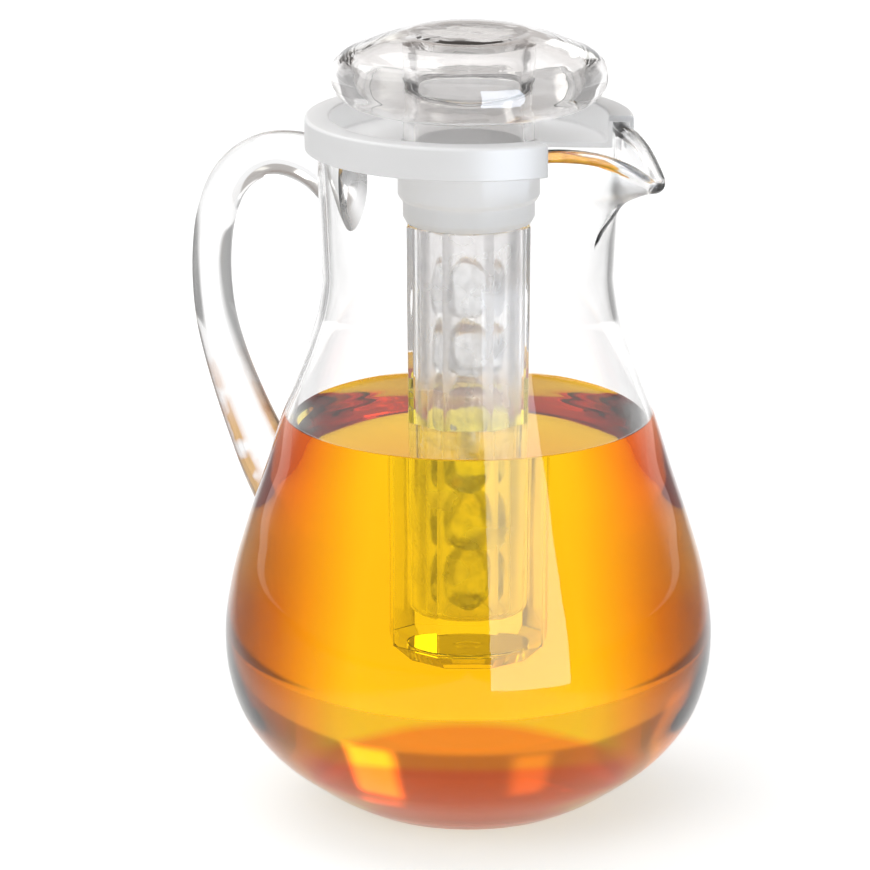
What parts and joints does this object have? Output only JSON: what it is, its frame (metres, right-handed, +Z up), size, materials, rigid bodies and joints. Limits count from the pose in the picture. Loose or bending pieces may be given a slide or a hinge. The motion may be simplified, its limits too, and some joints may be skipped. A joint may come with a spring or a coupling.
{
  "type": "serving pitcher with ice tube",
  "caption": "Clear pear-shaped pitcher with a side handle and a pouring lip, a white lid with a pour gap, a clear hollow knob and a faceted clear ice tube hanging inside.",
  "frame": {"origin": "centre of the base, on the surface that the pitcher stands on", "axes": "+Z up along the pitcher's axis, +X towards the spout, -X towards the handle"},
  "size_m": [0.2109, 0.18, 0.29],
  "materials": {
    "jug_clear": "clear, polished",
    "handle_clear": "clear, polished",
    "tube_clear": "clear, polished",
    "cap_clear": "clear, polished",
    "lid_white": "fine satin",
    "collar_white": "fine satin",
    "seal": "milky silicone"
  },
  "bodies": {
    "jug": {"jug_body": "jug_clear", "jug_handle": "handle_clear"},
    "lid": {"pour_lid": "lid_white"},
    "tube": {"ice_tube": "tube_clear", "tube_collar": "collar_white", "tube_gasket": "seal"},
    "cap": {"cap_dome": "cap_clear", "cap_stem": "cap_clear", "cap_oring": "seal"}
  },
  "joints": [
    {"name": "lid_lift", "type": "slide", "parent": "jug", "child": "lid", "axis": [0, 0, 1], "range_m": [0, 0.205]},
    {"name": "tube_turn", "type": "hinge", "parent": "lid", "child": "tube", "pos_m": [0, 0, 0.226], "axis": [0, 0, 1], "range_deg": [0, 45]},
    {"name": "cap_lift", "type": "slide", "parent": "lid", "child": "cap", "axis": [0, 0, 1], "range_m": [0, 0.035]}
  ]
}
